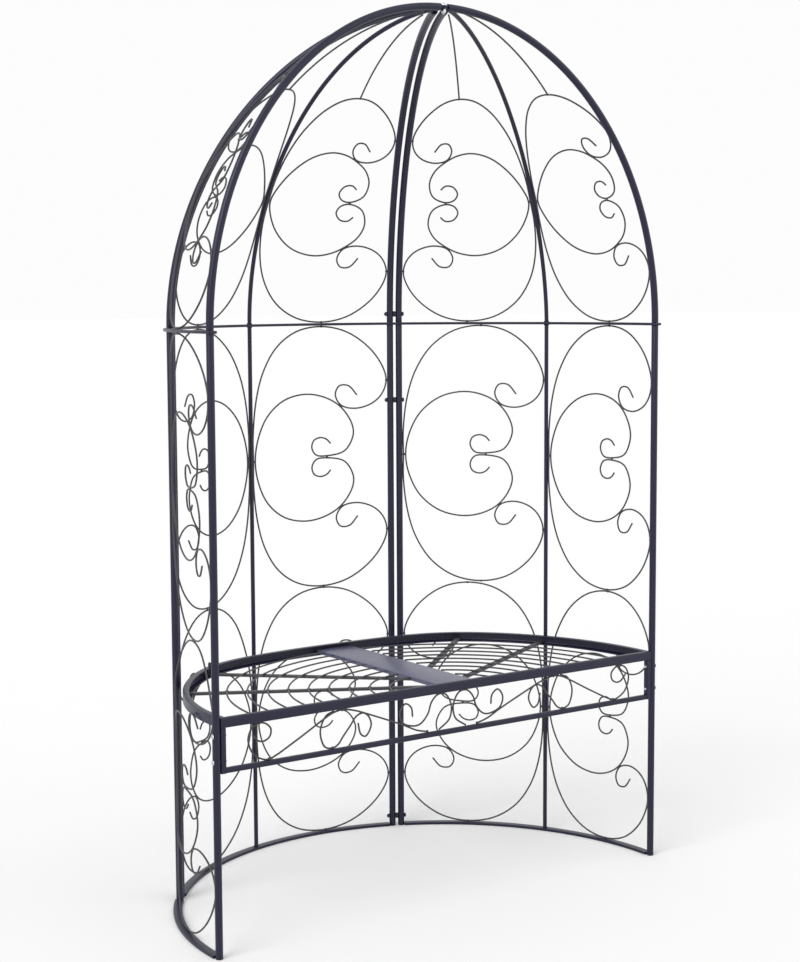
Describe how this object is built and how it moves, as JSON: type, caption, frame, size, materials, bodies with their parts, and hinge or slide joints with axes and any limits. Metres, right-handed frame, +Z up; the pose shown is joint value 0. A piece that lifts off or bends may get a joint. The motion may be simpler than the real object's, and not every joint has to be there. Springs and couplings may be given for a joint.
{
  "type": "arbour seat",
  "caption": "Half-round garden arbour of dark steel tube and wire scrolls under a half dome, with a half-round slatted bench across its open front.",
  "frame": {"origin": "on the ground, under the middle of the whole seat's box", "axes": "+X along the open front to the right as one faces the seat, +Y to the back, +Z up"},
  "size_m": [1.2198, 0.6478, 1.9822],
  "materials": {
    "frame_steel": "satin powder coat, blue-black",
    "scroll_wire": "satin powder coat, grey-black",
    "seat_plate": "satin powder coat, slate, lit from above",
    "dark_fixings": "black coated steel",
    "bright_fixings": "bright zinc plate"
  },
  "bodies": {
    "root": {"apex_bolt": "bright_fixings", "apex_nut": "bright_fixings", "apex_plate_back": "frame_steel", "apex_plate_left": "frame_steel", "apex_plate_right": "frame_steel", "apron_rail": "frame_steel", "apron_scroll_left": "scroll_wire", "apron_scroll_right": "scroll_wire", "apron_stile_left": "frame_steel", "apron_stile_right": "frame_steel", "base_ring_back": "frame_steel", "base_ring_left": "frame_steel", "base_ring_right": "frame_steel", "corner_screw_left_1": "bright_fixings", "corner_screw_left_2": "bright_fixings", "corner_screw_right_1": "bright_fixings", "corner_screw_right_2": "bright_fixings", "dome_back_bar": "frame_steel", "dome_right_bar": "frame_steel", "dome_scroll_back_left": "scroll_wire", "dome_scroll_back_right": "scroll_wire", "dome_scroll_left_front": "scroll_wire", "dome_scroll_right_back": "scroll_wire", "dome_scroll_right_front": "scroll_wire", "dome_tube_back_left": "frame_steel", "dome_tube_back_right": "frame_steel", "dome_tube_left": "frame_steel", "dome_tube_left_back_left": "frame_steel", "dome_tube_left_back_right": "frame_steel", "dome_tube_right": "frame_steel", "middle_ring_back": "frame_steel", "middle_ring_left": "frame_steel", "middle_ring_right": "frame_steel", "pair_bolt_back_1": "dark_fixings", "pair_bolt_back_2": "dark_fixings", "pair_bolt_back_3": "dark_fixings", "pair_bolt_left_back_1": "dark_fixings", "pair_bolt_left_back_2": "dark_fixings", "pair_bolt_left_back_3": "dark_fixings", "post_back_bar": "frame_steel", "post_back_left": "frame_steel", "post_back_right": "frame_steel", "post_left": "frame_steel", "post_left_back_left": "frame_steel", "post_left_back_right": "frame_steel", "post_right": "frame_steel", "post_right_bar": "frame_steel", "rim_wing_screw": "dark_fixings", "seat_centre_plate": "seat_plate", "seat_front_bar": "frame_steel", "seat_rim": "frame_steel", "seat_slats_left": "scroll_wire", "seat_slats_right": "scroll_wire", "wall_scroll_back_left_bottom": "scroll_wire", "wall_scroll_back_left_middle": "scroll_wire", "wall_scroll_back_right": "scroll_wire", "wall_scroll_left_front": "scroll_wire", "wall_scroll_right_back_bottom": "scroll_wire", "wall_scroll_right_back_middle": "scroll_wire", "wall_scroll_right_front": "scroll_wire"}
  },
  "joints": []
}
